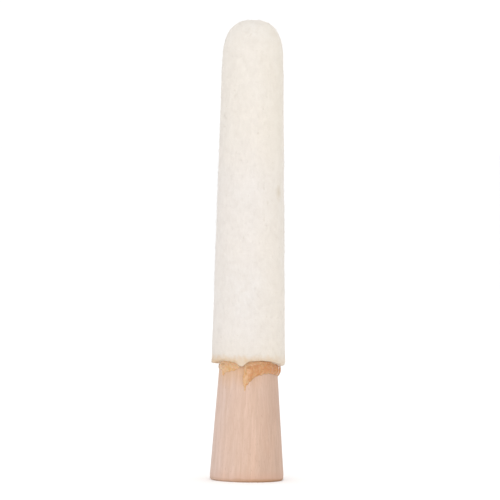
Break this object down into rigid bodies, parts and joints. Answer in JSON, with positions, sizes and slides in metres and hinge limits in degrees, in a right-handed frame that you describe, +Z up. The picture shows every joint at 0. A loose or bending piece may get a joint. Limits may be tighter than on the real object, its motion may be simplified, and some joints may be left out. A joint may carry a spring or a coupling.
{
  "type": "blending stump",
  "caption": "Felt blending stump: a round-tipped, slightly tapered felt finger glued over a turned wooden peg whose flared end is the grip.",
  "frame": {"origin": "middle of the flat wooden foot that the stump stands on", "axes": "+Z runs up the stump's axis from the foot to the felt tip; -Y faces the side with the longest run of glue; +X is to the right seen from there"},
  "size_m": [0.0152, 0.0152, 0.095],
  "materials": {
    "felt": "matte",
    "wood": "matte",
    "glue": "gloss"
  },
  "bodies": {
    "root": {"felt_finger": "felt", "wooden_peg": "wood", "glue_film": "glue", "glue_bead": "glue"}
  },
  "joints": []
}
